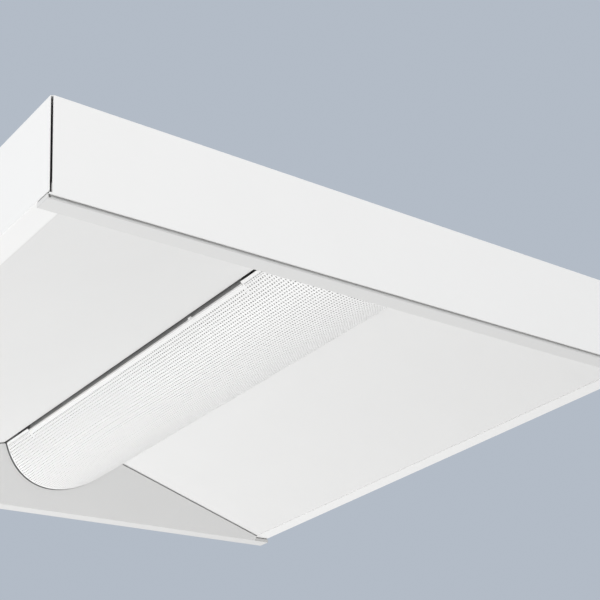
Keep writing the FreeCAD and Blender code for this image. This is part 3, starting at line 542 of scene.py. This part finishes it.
def add_led_packages():
    """Each package is a white moulded frame around a sunk square of phosphor."""
    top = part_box("led_packages")[1][2]
    first_y = -(CHIPS_PER_ROW - 1) / 2 * CHIP_PITCH
    places = [(side * CHIP_ROW_X, first_y + row * CHIP_PITCH, 0)
              for side in (-1, 1) for row in range(CHIPS_PER_ROW)]
    bpy.ops.object.select_all(action="DESELECT")
    bpy.ops.mesh.primitive_cube_add(size=1.0, location=(0, 0, top - CHIP_HEIGHT / 2))
    pattern = named("led_package_0")
    pattern.scale = (CHIP_SIZE, CHIP_SIZE, CHIP_HEIGHT)
    settle(pattern)
    bpy.ops.object.mode_set(mode="EDIT")
    pick_faces(pattern, lambda c: c.z < top - 0.9 * CHIP_HEIGHT)
    bpy.ops.mesh.inset(thickness=CHIP_FRAME)
    bpy.ops.mesh.extrude_region_move(TRANSFORM_OT_translate={"value": (0, 0, CHIP_SINK)})
    bpy.ops.object.mode_set(mode="OBJECT")
    pattern.data.materials.append(MATERIALS["package_white"])
    pattern.data.materials.append(MATERIALS["led_phosphor"])
    for face in pattern.data.polygons:
        inside = max(abs(face.center.x), abs(face.center.y)) < 0.0001
        face.material_index = int(inside and face.normal.z < -0.5)
    copies = []
    for place in places:
        chip = pattern.copy()
        chip.data = pattern.data.copy()
        chip.location = place
        bpy.context.scene.collection.objects.link(chip)
        copies.append(chip)
    bpy.data.objects.remove(pattern)
    bpy.ops.object.select_all(action="DESELECT")
    for chip in copies:
        chip.select_set(True)
    bpy.context.view_layer.objects.active = copies[0]
    bpy.ops.object.join()
    packages = named("led_package_rows")
    settle(packages)
    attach(packages, "housing")
    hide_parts("led_packages")


# ---- stage ----------------------------------------------------------------------------
FLOOR_Z = -1.6
FLOOR_SIZE = 60.0
FLOOR_GREY = 0.60
AMBIENT = 0.82                # strength of the world's even light
BACKDROP = (0.45, 0.50, 0.57, 1.0)


def plain_stage_material(name, colour):
    """Plain matt surface for the floor."""
    material, _, shader = new_material(name)
    shader.inputs["Base Color"].default_value = colour
    shader.inputs["Roughness"].default_value = 0.9
    shader.inputs["Specular IOR Level"].default_value = 0.1
    return material


def add_stage():
    """A pale floor well below, and a plain world that the camera sees as pale blue-grey."""
    bpy.ops.object.select_all(action="DESELECT")
    bpy.ops.mesh.primitive_plane_add(size=FLOOR_SIZE, location=(0, 0, FLOOR_Z))
    floor = bpy.context.object
    floor.name = "floor"
    floor.data.materials.append(plain_stage_material("pale floor", rgb(FLOOR_GREY, FLOOR_GREY, FLOOR_GREY)))
    world = bpy.data.worlds.new("studio")
    bpy.context.scene.world = world
    world.use_nodes = True
    kit = Nodes(world.node_tree)
    soft = world.node_tree.nodes["Background"]
    soft.inputs["Color"].default_value = rgb(1.0, 1.0, 1.0)
    soft.inputs["Strength"].default_value = AMBIENT
    seen = kit.add("ShaderNodeBackground")
    seen.inputs["Color"].default_value = BACKDROP
    seen.inputs["Strength"].default_value = 1.0
    path = kit.add("ShaderNodeLightPath")
    mirrored = kit.math("MAXIMUM", path.outputs["Is Glossy Ray"], path.outputs["Is Transmission Ray"])
    either = kit.math("MAXIMUM", path.outputs["Is Camera Ray"], mirrored)
    pick = kit.add("ShaderNodeMixShader")
    kit.link(either, pick.inputs["Fac"])
    kit.link(soft.outputs[0], pick.inputs[1])
    kit.link(seen.outputs[0], pick.inputs[2])
    kit.link(pick.outputs[0], world.node_tree.nodes["World Output"].inputs["Surface"])


def add_area_light(name, place, aim, size, power):
    """A square lamp that faces a point."""
    data = bpy.data.lights.new(name, "AREA")
    data.shape = "SQUARE"
    data.size = size
    data.energy = power
    light = bpy.data.objects.new(name, data)
    light.location = place
    light.rotation_euler = (Vector(aim) - Vector(place)).to_track_quat("-Z", "Y").to_euler()
    bpy.context.scene.collection.objects.link(light)


def add_lights():
    """Large soft lamps: three above the horizon at the sides, one below, one overhead."""
    add_area_light("front lamp", (-0.9, -2.7, 1.30), (-0.1, -0.2, 0.05), 1.6, 28.0)
    add_area_light("left lamp", (-2.8, -0.2, 1.30), (-0.3, 0, 0.05), 1.6, 22.0)
    add_area_light("back lamp", (2.0, 2.4, 1.30), (0, 0.2, 0.05), 1.6, 10.0)
    add_area_light("under lamp", (-0.35, 0.50, -1.35), (0, 0, 0.03), 1.4, 15.0)
    add_area_light("top lamp", (-0.5, 0.5, 2.6), (0, 0, 0), 2.0, 6.0)


bpy.context.scene.view_settings.view_transform = "Standard"
add_camera()
dress_nodes()
add_perforated_lens()
add_slot_shade_strip()
add_led_packages()
add_stage()
add_lights()
